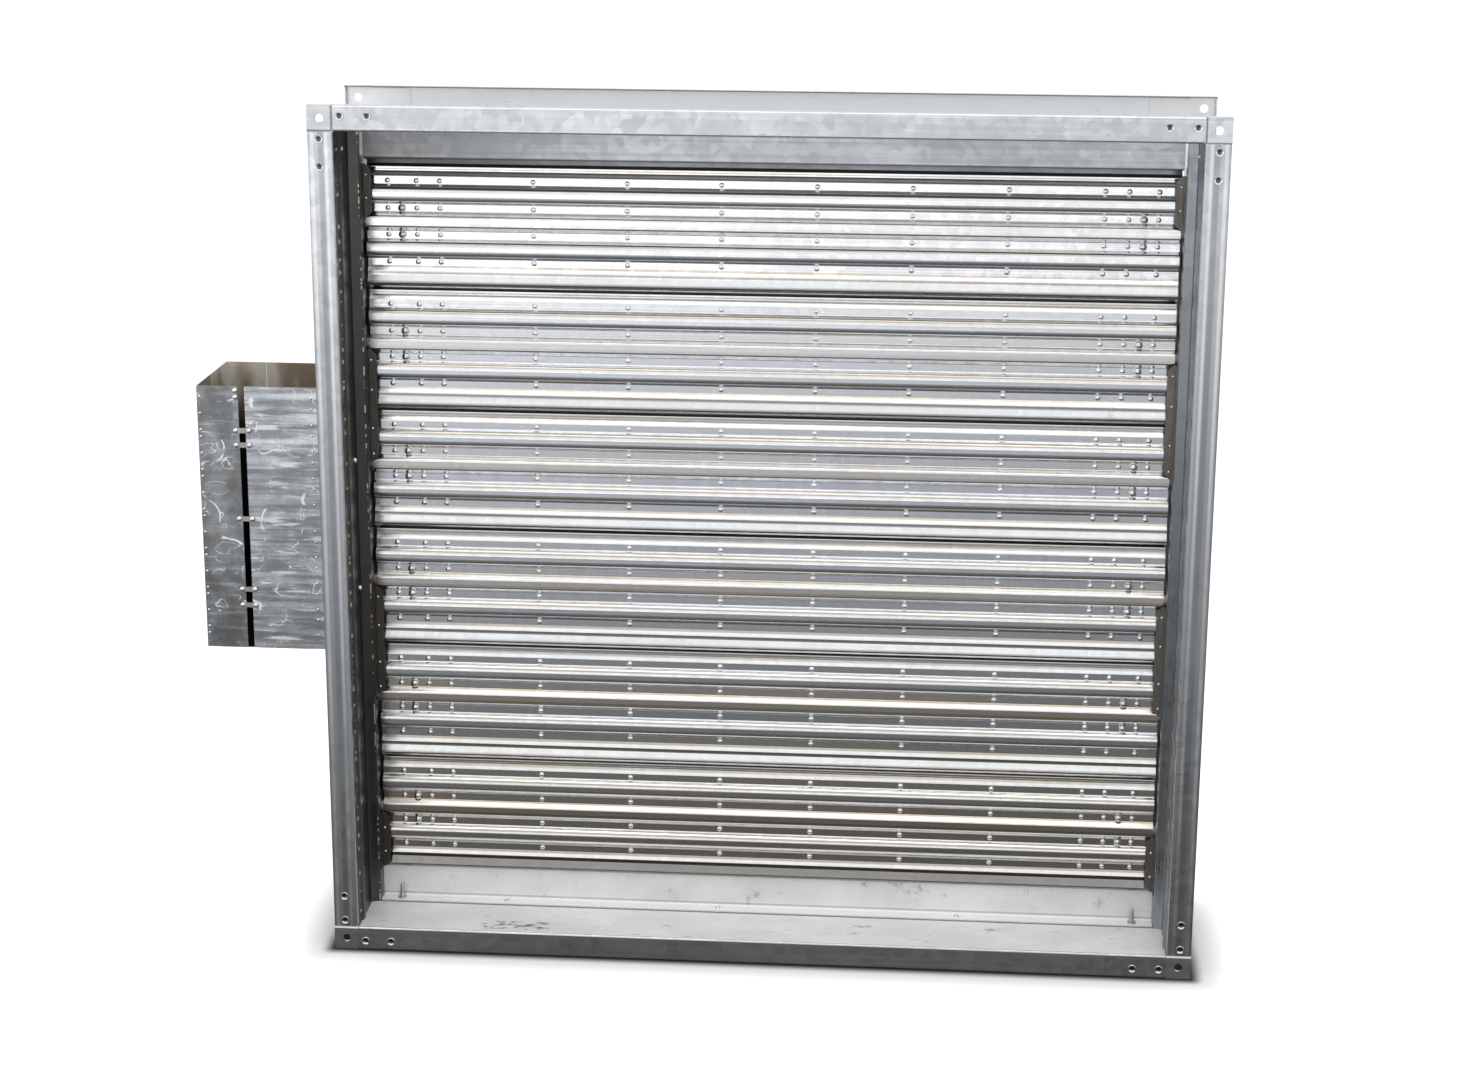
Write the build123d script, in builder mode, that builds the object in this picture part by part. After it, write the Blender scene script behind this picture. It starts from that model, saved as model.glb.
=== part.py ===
"""Motorized volume control damper: flanged sheet-metal frame, opposed blades, side linkage, actuator box.

Frame of reference: the origin is the centre of the front flange face. +X is to the right seen from the
front, +Y runs through the duct away from the front, +Z is up. All sizes are in millimetres.
"""
import os
from math import cos, radians, sin

from build123d import *

# Duct frame
duct_width = 1000.0
duct_height = 990.0
frame_depth = 220.0
flange_width = 30.0
flange_lip = 12.0
frame_sheet = 1.5
frame_bend = 2.5
flange_seam = 14.0
wall_end_gap = 0.8

# Stiffening bead beside each flange, and the central rib of the side walls
bead_inset = 17.0
bead_width = 21.0
bead_height = 3.0
rib_width = 50.0
rib_height = 12.0
fold_run = 6.0

# Corner pieces
corner_sheet = 2.0
corner_leg = 50.0
corner_side_gap = 0.5
bolt_hole_radius = 5.0

# Blades: two like skins, back to back, with a stepped lip; the stops take the height that is left
blade_count = 6
stop_height_ratio = 0.6
blade_pitch = duct_height / (blade_count + stop_height_ratio)
blade_end_gap = 15.0
skin_sheet = 1.0
hump_height = 7.0
hump_foot = 22.0
hump_span = 22.0
hump_slope = 4.0
ridge_half_width = 11.0
ridge_top_half = 5.5
edge_slope = 6.0
edge_step = 4.0
lip_overlap = 2.0
lip_step = 8.5
lip_curl = 2.0
lip_curl_width = 3.0
lip_width = 12.0
rim_short = 15.0
edge_width = 23.0
foot_bend = 2.5
crown_bend = 8.0
edge_bend = 1.5

# Shafts and bearings
shaft_radius = 6.0
shaft_in_blade = 160.0
running_gap = 0.05
seat_gap = 0.2
bush_radius = 9.0
bush_flange_radius = 10.0
bush_flange = 2.5
bush_past_wall = 15.0

# Blade stops and jamb seals
stop_sheet = 1.5
stop_foot = 40.0
stop_gap = 1.0
stop_overlap = 5.0
stop_curl = 6.0
stop_end_gap = 2.0
stop_corner = 9.0
sill_inset = 2.0
sill_foot = 20.0
sill_seam = 5.0
tip_gap = 2.0
seal_sheet = 1.5
seal_foot = 14.0
seal_overlap = 8.0
seal_axis_gap = 5.0
seal_chamfer = 7.0

# Linkage in the right-hand recess
crank_radius = 40.0
crank_rest_angle = 45.0
crank_hub_radius = 11.0
crank_end_radius = 8.0
crank_thick = 5.0
crank_wall_gap = 0.5
pin_radius = 4.0
bar_width = 16.0
bar_thick = 2.5
bar_side_gap = 0.5
plate_height = 26.0
plate_thick = 2.0
pin_past_plate = 1.5

# Actuator box on the left
drive_blade = 3
box_sheet = 1.2
box_bend = 2.0
box_front_inset = 37.0
box_depth = 145.0
box_above_drive = 108.0
box_below_drive = 220.0
box_reach = 185.0
cover_return = 51.0
cover_slot = 8.0
cover_rear_gap = 0.5
cable_hole_radius = 14.0
strap_heights = (54.0, 36.0, -56.0, -145.0, -165.0)
strap_width = 6.0
strap_length = 21.0
strap_sheet = 1.5
strap_chamfer = 1.8
box_shaft_hole = 16.0

# Actuator
actuator_width = 80.0
actuator_above_drive = 45.0
actuator_below_drive = 170.0
actuator_wall_gap = 12.0
housing_thick = 45.0
lid_thick = 15.0
actuator_round = 12.0
lid_round = 3.0
hub_radius = 20.0
hub_gap = 0.1
clamp_thick = 14.0
clamp_half_width = 18.0
clamp_drop = 16.0
bow_thick = 4.0
bow_width = 5.0
bow_gap = 0.1
bow_leg = 26.0
shaft_past_clamp = 8.0
torque_strap_sheet = 2.0
torque_strap_width = 24.0
torque_strap_foot = 38.0
torque_strap_reach = 34.0
torque_pin_radius = 3.0
torque_pin_length = 8.0
torque_slot_gap = 0.3
gland_offset = 27.0
gland_radius = 9.0
gland_nut_radius = 11.5
gland_nut = 6.0
gland_length = 16.0
gland_bore = 4.0
gland_chamfer = 2.2
button_drop = 115.0
button_radius = 8.0
button_gap = 0.2
button_proud = 5.0
button_seat = 4.0
button_travel = 3.0
button_chamfer = 0.8

# Worked-out places
half_width = duct_width / 2
half_height = duct_height / 2
axis_depth = frame_depth / 2
blade_axes = [blade_pitch * ((blade_count - 1) / 2 - i) for i in range(blade_count)]
lip_reach = blade_pitch / 2 + lip_overlap
skin_front = max(hump_height, lip_step) + skin_sheet
blade_half = half_width - blade_end_gap
rib_wall = half_width - rib_height
crank_inner = half_width + bush_past_wall - rib_height + crank_wall_gap
crank_outer = crank_inner + crank_thick
bar_inner = crank_outer + bar_side_gap
bar_outer = bar_inner + bar_thick
plate_inner = bar_outer + bar_side_gap
plate_outer = plate_inner + plate_thick
pin_end = plate_outer + pin_past_plate
drive_height = blade_axes[drive_blade - 1]
box_wall = half_width + frame_sheet
actuator_inner = box_wall + box_sheet + actuator_wall_gap
lid_inner = actuator_inner + housing_thick
lid_outer = lid_inner + lid_thick
clamp_outer = lid_outer + hub_gap + clamp_thick
drive_end = clamp_outer + shaft_past_clamp
actuator_bottom = drive_height - actuator_below_drive

os.makedirs("parts", exist_ok=True)


def save(piece, name):
    """Label a finished piece and write it as its own file."""
    piece.part.label = name
    export_step(piece.part, f"parts/{name}.step")


def sheet_outline(points, bend, thickness):
    """The outline of a folded sheet that lies to the right of the line through the points."""
    with BuildLine() as outline:
        FilletPolyline(*points, radius=bend)
        offset(amount=thickness, side=Side.RIGHT)
    return outline.line


def axis_points(heights):
    """The blade axes in a plane that looks along X."""
    return [(axis_depth, z) for z in heights]


# Frame walls: a channel open to the outside, with a flange and a return lip at each end


def channel_points(has_rib):
    """The duct-side line of a frame wall, as (outward, depth) points from the front lip to the rear lip."""
    bead_end = bead_inset + bead_width
    rib_start = axis_depth - rib_width / 2
    front = [(flange_width, flange_lip), (flange_width, 0), (0, 0)]
    if has_rib:
        front += [
            (0, bead_inset),
            (-bead_height, bead_inset + fold_run),
            (-bead_height, bead_end - fold_run),
            (0, bead_end),
            (0, rib_start - fold_run),
            (-rib_height, rib_start),
        ]
    rear = [(out, frame_depth - depth) for out, depth in reversed(front)]
    return front + rear


def frame_wall(outward, distance, length, has_rib):
    """One wall of the frame, about the middle of its length. A ribbed wall has flange strips seamed to it."""
    out = Vector(*outward)
    section_plane = Plane(out * distance, x_dir=out, z_dir=out.cross(Vector(0, 1, 0)))
    with BuildPart() as wall:
        with BuildSketch(section_plane):
            make_face(sheet_outline(channel_points(has_rib), frame_bend, frame_sheet))
        extrude(amount=length / 2 - wall_end_gap, both=True)
        if has_rib:
            for seam in (flange_seam, frame_depth - flange_seam):
                split(bisect_by=Plane.XZ.offset(-seam), keep=Keep.BOTH)
            with BuildSketch(Plane.YZ):
                with Locations(*axis_points(blade_axes)):
                    Circle(bush_radius + running_gap)
            extrude(amount=out.X * (half_width + flange_width), mode=Mode.SUBTRACT)
    return wall


save(frame_wall((0, 0, 1), half_height, duct_width, False), "frame_top")
save(frame_wall((0, 0, -1), half_height, duct_width, False), "frame_bottom")
save(frame_wall((-1, 0, 0), half_width, duct_height, True), "frame_left")
save(frame_wall((1, 0, 0), half_width, duct_height, True), "frame_right")


# Corner pieces: a pressed square between the flanges, with two legs behind them


def corner_piece(side, level, face, inward):
    """A corner piece at the given side (X), level (Z) and flange face (Y), pressed inward along Y."""
    origin = (side * half_width, face, level * half_height)
    flat = Plane(origin, x_dir=(side, 0, 0), z_dir=(0, -side * level, 0))
    back = Plane((origin[0], face + inward * frame_sheet, origin[2]), x_dir=flat.x_dir, z_dir=flat.z_dir)
    leg_low = frame_bend + corner_side_gap
    leg_high = flange_width - frame_bend - corner_side_gap
    with BuildPart() as corner:
        with BuildSketch(flat):
            Rectangle(flange_width, flange_width, align=Align.MIN)
        extrude(amount=flange_lip, dir=(0, inward, 0))
        with BuildSketch(Plane(back.origin + Vector(0, inward * corner_sheet, 0), flat.x_dir, flat.z_dir)):
            Rectangle(flange_width - frame_sheet, flange_width - frame_sheet, align=Align.MIN)
        extrude(amount=flange_lip, dir=(0, inward, 0), mode=Mode.SUBTRACT)
        with BuildSketch(back):
            with BuildLine():
                Polyline(
                    (0, leg_low),
                    (-corner_leg, leg_low),
                    (-corner_leg, leg_high),
                    (leg_high, leg_high),
                    (leg_high, -corner_leg),
                    (leg_low, -corner_leg),
                    (leg_low, 0),
                    (0, 0),
                    close=True,
                )
            make_face()
        extrude(amount=corner_sheet, dir=(0, inward, 0))
        with BuildSketch(flat):
            with Locations((flange_width / 2, flange_width / 2)):
                Circle(bolt_hole_radius)
        extrude(amount=flange_lip, dir=(0, inward, 0), mode=Mode.SUBTRACT)
    return corner


for face_name, face, inward in (("front", 0.0, 1), ("rear", frame_depth, -1)):
    for level_name, level in (("top", 1), ("bottom", -1)):
        for side_name, side in (("left", -1), ("right", 1)):
            name = f"corner_{face_name}_{level_name}_{side_name}"
            save(corner_piece(side, level, face, inward), name)

# Blade stops: folded angles across the top and the bottom of the duct

stop_plane = axis_depth - skin_front - stop_gap
stop_edge = blade_axes[0] + lip_reach - stop_overlap
stop_points = [
    (stop_plane - stop_foot, half_height),
    (stop_plane, half_height),
    (stop_plane, stop_edge + stop_curl),
    (stop_plane + stop_curl, stop_edge),
]
stop_half = rib_wall - stop_end_gap
with BuildPart() as stop_top:
    with BuildSketch(Plane.YZ):
        make_face(sheet_outline(stop_points, frame_bend, stop_sheet))
    extrude(amount=stop_half, both=True)
    stop_ends = stop_top.faces().filter_by(Axis.X).edges()
    chamfer(stop_ends.group_by(Axis.Z)[0], length=stop_corner)
save(stop_top, "stop_top")

sill_plane = axis_depth - sill_inset
sill_edge = blade_axes[-1] - lip_reach - tip_gap
sill_points = [
    (sill_plane, sill_edge),
    (sill_plane, -half_height),
    (sill_plane - sill_foot, -half_height),
]
with BuildPart() as stop_bottom:
    with BuildSketch(Plane.YZ):
        make_face(sheet_outline(sill_points, frame_bend, stop_sheet))
    extrude(amount=rib_wall, both=True)
    split(bisect_by=Plane.XY.offset(sill_seam - half_height), keep=Keep.BOTH)
save(stop_bottom, "stop_bottom")

# Jamb seals: angle strips on the rib, in front of some blade ends and behind the others

seal_limits = [stop_edge + seal_axis_gap - tip_gap, *blade_axes, sill_edge - seal_axis_gap + tip_gap]
seal_reach = blade_end_gap - rib_height + seal_overlap
for side_name, side in (("left", -1), ("right", 1)):
    for face_name, toward, first in (("front", -1, 0), ("rear", 1, 1)):
        seal_face = axis_depth + toward * (skin_front + stop_gap)
        with BuildPart() as seals:
            for zone in range(first, blade_count + 1 - first, 2):
                top = seal_limits[zone] - seal_axis_gap
                bottom = seal_limits[zone + 1] + seal_axis_gap
                with BuildSketch(Plane((side * rib_wall, seal_face, bottom), (-side, 0, 0), (0, 0, 1))):
                    turn = toward * side
                    with BuildLine():
                        Polyline(
                            (0, 0),
                            (seal_reach, 0),
                            (seal_reach, -turn * seal_sheet),
                            (seal_sheet, -turn * seal_sheet),
                            (seal_sheet, -turn * seal_foot),
                            (0, -turn * seal_foot),
                            close=True,
                        )
                    make_face()
                extrude(amount=top - bottom)
            free_edges = seals.edges().filter_by(Axis.Y).group_by(Axis.X)
            chamfer(free_edges[-1 if side < 0 else 0], length=seal_chamfer)
        save(seals, f"jamb_seals_{side_name}_{face_name}")

# Shaft bushes in the side walls

for side_name, side in (("left", -1), ("right", 1)):
    with BuildPart() as bushes:
        with BuildSketch(Plane.YZ.offset(side * (rib_wall - bush_flange))):
            with Locations(*axis_points(blade_axes)):
                Circle(bush_flange_radius)
                Circle(shaft_radius + running_gap, mode=Mode.SUBTRACT)
        extrude(amount=side * bush_flange)
        with BuildSketch(Plane.YZ.offset(side * rib_wall)):
            with Locations(*axis_points(blade_axes)):
                Circle(bush_radius)
                Circle(shaft_radius + running_gap, mode=Mode.SUBTRACT)
        extrude(amount=side * bush_past_wall)
    save(bushes, f"bushes_{side_name}")

# Blades


def skin_line():
    """The inner line of a blade skin from its rim down to its lip, as (height, rise, bend) about the axis."""
    hump_end = hump_foot + hump_span
    flat_end = lip_reach - edge_width
    edge_end = flat_end + edge_slope
    half = [
        (ridge_top_half, shaft_radius + seat_gap, foot_bend),
        (ridge_half_width, 0, foot_bend),
        (hump_foot, 0, foot_bend),
        (hump_foot + hump_slope, hump_height, crown_bend),
        (hump_end - hump_slope, hump_height, crown_bend),
        (hump_end, 0, foot_bend),
        (flat_end, 0, edge_bend),
    ]
    rim = [(lip_reach - rim_short, -edge_step, 0), (edge_end, -edge_step, edge_bend)]
    lip = [
        (edge_end, edge_step, edge_bend),
        (lip_reach - lip_width, edge_step, edge_bend),
        (lip_reach - lip_curl_width, lip_step, edge_bend),
        (lip_reach, lip_step - lip_curl, 0),
    ]
    return rim + half[::-1] + [(-height, rise, bend) for height, rise, bend in half + lip]


def blade_skin(height, turn):
    """A pressed blade skin on the axis at the given height. Turn is 1 for the front skin, -1 for the rear."""
    points = [(-turn * rise, turn * place) for place, rise, _ in skin_line()]
    bends = [bend for _, _, bend in skin_line()][1:-1]
    with BuildPart() as skin:
        with BuildSketch(Plane((0, axis_depth, height), x_dir=(0, 1, 0), z_dir=(1, 0, 0))):
            make_face(sheet_outline(points, bends, skin_sheet))
        extrude(amount=blade_half, both=True)
    return skin


def blade_shafts(height, left_end):
    """The two stub shafts of a blade, from inside the blade to past the bushes."""
    inner_end = blade_half - shaft_in_blade
    with BuildPart() as shafts:
        for start, end in ((-left_end, -inner_end), (inner_end, crank_outer)):
            with BuildSketch(Plane.YZ.offset(start)):
                with Locations((axis_depth, height)):
                    Circle(shaft_radius)
            extrude(amount=end - start)
    return shafts


def crank_pin(number):
    """Where the crank pin of a blade stands at rest, as (depth, height): odd blades to the front."""
    toward = -1 if number % 2 else 1
    angle = radians(crank_rest_angle)
    height = blade_axes[number - 1]
    return axis_depth + toward * crank_radius * cos(angle), height - crank_radius * sin(angle)


def crank_arm(number):
    """A crank arm on the right-hand shaft end, with its pin."""
    hub = (axis_depth, blade_axes[number - 1])
    pin = crank_pin(number)
    with BuildPart() as arm:
        with BuildSketch(Plane.YZ.offset(crank_inner)):
            with Locations(hub):
                Circle(crank_hub_radius)
            with Locations(pin):
                Circle(crank_end_radius)
            make_hull()
            with Locations(hub):
                Circle(shaft_radius + running_gap, mode=Mode.SUBTRACT)
        extrude(amount=crank_thick)
        with BuildSketch(Plane.YZ.offset(crank_outer)):
            with Locations(pin):
                Circle(pin_radius)
        extrude(amount=pin_end - crank_outer)
    return arm


for number, height in enumerate(blade_axes, start=1):
    left_end = drive_end if number == drive_blade else rib_wall + bush_past_wall
    save(blade_skin(height, 1), f"blade_{number}_front_skin")
    save(blade_skin(height, -1), f"blade_{number}_rear_skin")
    save(blade_shafts(height, left_end), f"blade_{number}_shafts")
    save(crank_arm(number), f"crank_arm_{number}")

# Tie bars: one joins the odd cranks, the other the even ones

coupling_height = drive_height - blade_pitch / 2
odd_depth = crank_pin(1)[0]
even_depth = crank_pin(2)[0]


def tie_bar(numbers, has_pin):
    """A flat bar over the crank pins of the given blades, with a coupling pin if asked."""
    pins = [crank_pin(number) for number in numbers]
    length = pins[0][1] - pins[-1][1] + bar_width
    with BuildPart() as bar:
        with BuildSketch(Plane.YZ.offset(bar_inner)):
            with Locations((pins[0][0], (pins[0][1] + pins[-1][1]) / 2)):
                SlotOverall(length, bar_width, rotation=90)
            with Locations(*pins):
                Circle(pin_radius + running_gap, mode=Mode.SUBTRACT)
        extrude(amount=bar_thick)
        if has_pin:
            with BuildSketch(Plane.YZ.offset(bar_outer)):
                with Locations((pins[0][0], coupling_height)):
                    Circle(pin_radius)
            extrude(amount=pin_end - bar_outer)
    return bar


odd_blades = range(1, blade_count + 1, 2)
even_blades = range(2, blade_count + 1, 2)
save(tie_bar(odd_blades, False), "tie_bar_odd")
save(tie_bar(even_blades, True), "tie_bar_even")

# Coupling plate: fixed to the odd bar, its level slot carries the pin of the even bar

bars_apart = even_depth - odd_depth
slot_travel = 2 * crank_radius - bars_apart
with BuildPart() as coupling_plate:
    with BuildSketch(Plane.YZ.offset(plate_inner)):
        plate_start = odd_depth - bar_width / 2
        plate_end = even_depth + slot_travel + bar_width / 2
        with Locations(((plate_start + plate_end) / 2, coupling_height)):
            RectangleRounded(plate_end - plate_start, plate_height, crank_end_radius)
        with Locations((even_depth + slot_travel / 2, coupling_height)):
            SlotCenterToCenter(slot_travel, 2 * (pin_radius + running_gap), mode=Mode.SUBTRACT)
    extrude(amount=plate_thick)
    with BuildSketch(Plane.YZ.offset(bar_outer)):
        with Locations((odd_depth, coupling_height)):
            Rectangle(bar_width, plate_height - bar_width / 2)
    extrude(amount=bar_side_gap)
save(coupling_plate, "coupling_plate")

# Actuator box: a channel on the wall with a floor, and a channel cover, with a slot between their front edges

box_rear_inset = box_front_inset + box_depth
box_top = drive_height + box_above_drive
box_bottom = drive_height - box_below_drive
box_height = box_top - box_bottom
box_end = half_width + box_reach
cover_edge = box_end - cover_return
base_edge = cover_edge - cover_slot
box_floor = Plane((0, 0, box_bottom), x_dir=(-1, 0, 0), z_dir=(0, 0, -1))

gland_place = (-(actuator_inner + lid_inner) / 2, axis_depth + gland_offset)
base_points = [
    (base_edge, box_front_inset),
    (box_wall, box_front_inset),
    (box_wall, box_rear_inset),
    (cover_edge - cover_rear_gap, box_rear_inset),
]
with BuildPart() as box_base:
    with BuildSketch(box_floor):
        make_face(sheet_outline(base_points, box_bend, box_sheet))
    extrude(amount=-box_height)
    with BuildSketch(Plane.YZ.offset(-box_wall)):
        with Locations(*axis_points(blade_axes)):
            Circle(box_shaft_hole)
    extrude(amount=-box_bend - box_sheet, mode=Mode.SUBTRACT)
    with BuildSketch(Plane.XY.offset(box_bottom)):
        with Locations((-(box_wall + box_end) / 2, (box_front_inset + box_rear_inset) / 2)):
            Rectangle(box_end - box_wall - 2 * (box_sheet + box_bend), box_depth - 2 * box_sheet)
        with Locations(gland_place):
            Circle(cable_hole_radius, mode=Mode.SUBTRACT)
    extrude(amount=box_sheet)
save(box_base, "box_base")

cover_points = [
    (cover_edge, box_rear_inset),
    (box_end, box_rear_inset),
    (box_end, box_front_inset),
    (cover_edge, box_front_inset),
]
with BuildPart() as box_cover:
    with BuildSketch(box_floor):
        make_face(sheet_outline(cover_points, box_bend, box_sheet))
    extrude(amount=-box_height)
save(box_cover, "box_cover")

with BuildPart() as box_straps:
    strap_middle = -(cover_edge + base_edge) / 2
    strap_places = [(strap_middle, drive_height + rise) for rise in strap_heights]
    for outer_depth in (box_front_inset - strap_sheet, box_rear_inset):
        with BuildSketch(Plane((0, outer_depth, 0), x_dir=(1, 0, 0), z_dir=(0, -1, 0))):
            with Locations(*strap_places):
                Rectangle(strap_length, strap_width)
        extrude(amount=-strap_sheet)
    chamfer(box_straps.edges().filter_by(Axis.Y), length=strap_chamfer)
save(box_straps, "box_straps")

# Actuator: a moulded housing round the drive shaft


def actuator_outline():
    """The rounded outline of the actuator, in a plane that looks along X."""
    height = actuator_above_drive + actuator_below_drive
    middle = drive_height + (actuator_above_drive - actuator_below_drive) / 2
    with Locations((axis_depth, middle)):
        RectangleRounded(actuator_width, height, actuator_round)
    with Locations((axis_depth, drive_height)):
        Circle(hub_radius, mode=Mode.SUBTRACT)


torque_pin_place = (-actuator_inner - torque_strap_reach + torque_strap_width / 2, axis_depth)
with BuildPart() as actuator_housing:
    with BuildSketch(Plane.YZ.offset(-lid_inner)):
        actuator_outline()
    extrude(amount=housing_thick)
    with BuildSketch(Plane.XY.offset(actuator_bottom)):
        with Locations(torque_pin_place):
            Circle(torque_pin_radius + torque_slot_gap)
    extrude(amount=torque_pin_length + torque_slot_gap, mode=Mode.SUBTRACT)
save(actuator_housing, "actuator_housing")

with BuildPart() as actuator_lid:
    with BuildSketch(Plane.YZ.offset(-lid_inner)):
        actuator_outline()
    extrude(amount=-lid_thick)
    outer_rim = actuator_lid.faces().sort_by(Axis.X)[0].outer_wire()
    chamfer(outer_rim.edges(), length=lid_round)
    with BuildSketch(Plane.YZ.offset(-lid_outer)):
        with Locations((axis_depth, drive_height - button_drop)):
            Circle(button_radius + button_gap)
    extrude(amount=button_seat + button_travel + button_gap, mode=Mode.SUBTRACT)
save(actuator_lid, "actuator_lid")

with BuildPart() as release_button:
    with BuildSketch(Plane.YZ.offset(-lid_outer + button_seat)):
        with Locations((axis_depth, drive_height - button_drop)):
            Circle(button_radius)
    extrude(amount=-button_seat - button_proud)
    chamfer(release_button.faces().sort_by(Axis.X)[0].edges(), length=button_chamfer)
save(release_button, "release_button")

# Shaft clamp: a hub through the actuator, with a jaw and a clamp bolt outside the lid

bow_inner = shaft_radius + running_gap
bow_outer = bow_inner + bow_thick
jaw_middle = -clamp_outer + clamp_thick / 2
with BuildPart() as actuator_clamp:
    with BuildSketch(Plane.YZ.offset(-actuator_inner)):
        with Locations((axis_depth, drive_height)):
            Circle(hub_radius - hub_gap)
    extrude(amount=-housing_thick - lid_thick - hub_gap)
    with BuildSketch(Plane.YZ.offset(-lid_outer - hub_gap)):
        with Locations((axis_depth, drive_height - clamp_drop / 2)):
            Rectangle(2 * clamp_half_width, clamp_drop)
    extrude(amount=-clamp_thick)
    with BuildSketch(Plane.YZ.offset(-actuator_inner)):
        with Locations((axis_depth, drive_height)):
            Circle(shaft_radius + running_gap)
    extrude(amount=-drive_end, mode=Mode.SUBTRACT)
    with BuildSketch(Plane.XY.offset(drive_height)):
        with Locations((jaw_middle, axis_depth)):
            with GridLocations(0, bow_inner + bow_outer, 1, 2):
                Rectangle(bow_width + 2 * bow_gap, bow_thick + 2 * bow_gap)
    extrude(amount=-clamp_drop, mode=Mode.SUBTRACT)
save(actuator_clamp, "actuator_clamp")

with BuildPart() as clamp_bolt:
    with BuildSketch(Plane.YZ.offset(jaw_middle)):
        with Locations((axis_depth, drive_height)):
            Circle(bow_outer)
            Rectangle(2 * bow_outer, bow_leg, align=(Align.CENTER, Align.MAX))
            Circle(bow_inner, mode=Mode.SUBTRACT)
            Rectangle(2 * bow_inner, bow_leg, align=(Align.CENTER, Align.MAX), mode=Mode.SUBTRACT)
    extrude(amount=bow_width / 2, both=True)
save(clamp_bolt, "clamp_bolt")

# Torque strap: keeps the housing from turning with the shaft

foot_wall = box_wall + box_sheet
strap_plane = Plane((0, axis_depth, actuator_bottom), x_dir=(-1, 0, 0), z_dir=(0, 1, 0))
strap_points = [
    (foot_wall, -torque_strap_foot),
    (foot_wall, 0),
    (actuator_inner + torque_strap_reach, 0),
]
with BuildPart() as torque_strap:
    with BuildSketch(strap_plane):
        make_face(sheet_outline(strap_points, frame_bend, torque_strap_sheet))
    extrude(amount=torque_strap_width / 2, both=True)
    with BuildSketch(Plane.XY.offset(actuator_bottom)):
        with Locations(torque_pin_place):
            Circle(torque_pin_radius)
    extrude(amount=torque_pin_length)
save(torque_strap, "torque_strap")

# Cable gland under the housing

with BuildPart() as cable_gland:
    with BuildSketch(Plane.XY.offset(actuator_bottom)):
        with Locations(gland_place):
            RegularPolygon(gland_nut_radius, 6)
    extrude(amount=-gland_nut)
    with BuildSketch(Plane.XY.offset(actuator_bottom - gland_nut)):
        with Locations(gland_place):
            Circle(gland_radius)
    extrude(amount=gland_nut - gland_length)
    chamfer(cable_gland.faces().sort_by(Axis.Z)[0].edges(), length=gland_chamfer)
    with BuildSketch(Plane.XY.offset(actuator_bottom - gland_length)):
        with Locations(gland_place):
            Circle(gland_bore)
    extrude(amount=gland_length - gland_nut, mode=Mode.SUBTRACT)
save(cable_gland, "cable_gland")
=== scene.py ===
# %% [markdown]
# # A motorised duct damper
# The solids of this damper come ready made and stay where they are. This lesson adds what a picture needs:
# the rivets and screws that hold the sheet metal together, the finishes, the studio and the camera.

# %% Load the solids
import math

import bpy
from mathutils import Matrix, Vector


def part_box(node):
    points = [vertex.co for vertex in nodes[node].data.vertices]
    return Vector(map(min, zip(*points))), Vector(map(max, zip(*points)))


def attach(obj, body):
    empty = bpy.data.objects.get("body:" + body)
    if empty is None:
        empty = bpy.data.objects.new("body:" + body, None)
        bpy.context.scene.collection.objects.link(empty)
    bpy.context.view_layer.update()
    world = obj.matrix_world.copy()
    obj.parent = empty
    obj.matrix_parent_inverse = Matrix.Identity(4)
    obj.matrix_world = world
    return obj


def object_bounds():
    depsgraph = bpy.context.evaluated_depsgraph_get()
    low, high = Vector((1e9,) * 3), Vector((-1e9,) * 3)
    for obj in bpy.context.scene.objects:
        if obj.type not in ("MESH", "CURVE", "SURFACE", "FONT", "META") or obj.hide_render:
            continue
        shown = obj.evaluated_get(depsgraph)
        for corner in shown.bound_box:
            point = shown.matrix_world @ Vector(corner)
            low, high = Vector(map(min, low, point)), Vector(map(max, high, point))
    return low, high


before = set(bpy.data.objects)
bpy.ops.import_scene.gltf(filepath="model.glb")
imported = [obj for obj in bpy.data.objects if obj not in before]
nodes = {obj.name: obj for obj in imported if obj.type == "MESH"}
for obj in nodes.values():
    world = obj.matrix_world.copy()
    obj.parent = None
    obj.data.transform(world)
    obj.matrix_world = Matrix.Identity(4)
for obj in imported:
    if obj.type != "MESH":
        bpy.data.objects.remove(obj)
cad_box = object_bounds()
MM = 0.001
X, Y, Z = range(3)
DEPTH = 0.22  # from the front flange to the rear one
MIDDLE = DEPTH / 2  # the plane of the blade shafts
HALF_WIDTH, HALF_HEIGHT = 0.5, 0.495  # of the clear duct
FLANGE = 0.03
PITCH = 0.15  # from one blade to the next
BLADES = range(1, 7)
print("solids:", len(nodes), "box:", [tuple(round(v, 3) for v in corner) for corner in cad_box])

# %% [markdown]
# ## The camera
# The damper was looked at from a little above and from the right of its middle, from about three metres. A camera
# could be aimed by eye, but here its place and lens were worked out from the corners of the two flanges, so that
# the straight edges run as they do in the photograph.

# %% Camera
eye = bpy.data.cameras.new("Camera")
eye.sensor_width = 36.0
eye.lens = 69.018
camera = bpy.data.objects.new("Camera", eye)
camera.location = (0.22044, -3.21080, 0.90127)
camera.rotation_euler = (math.radians(74.7425), math.radians(-0.2504), math.radians(4.5728))
bpy.context.scene.collection.objects.link(camera)
bpy.context.scene.camera = camera
print("camera lens:", eye.lens)

# %% [markdown]
# ## Shader sums as plain Python
# A finish is a web of nodes. Wiring each Math node by hand hides the idea, so a small class wraps a socket and
# gives it the usual operators. Every other node comes from one method that sets a node up and then fills its
# sockets.


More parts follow.
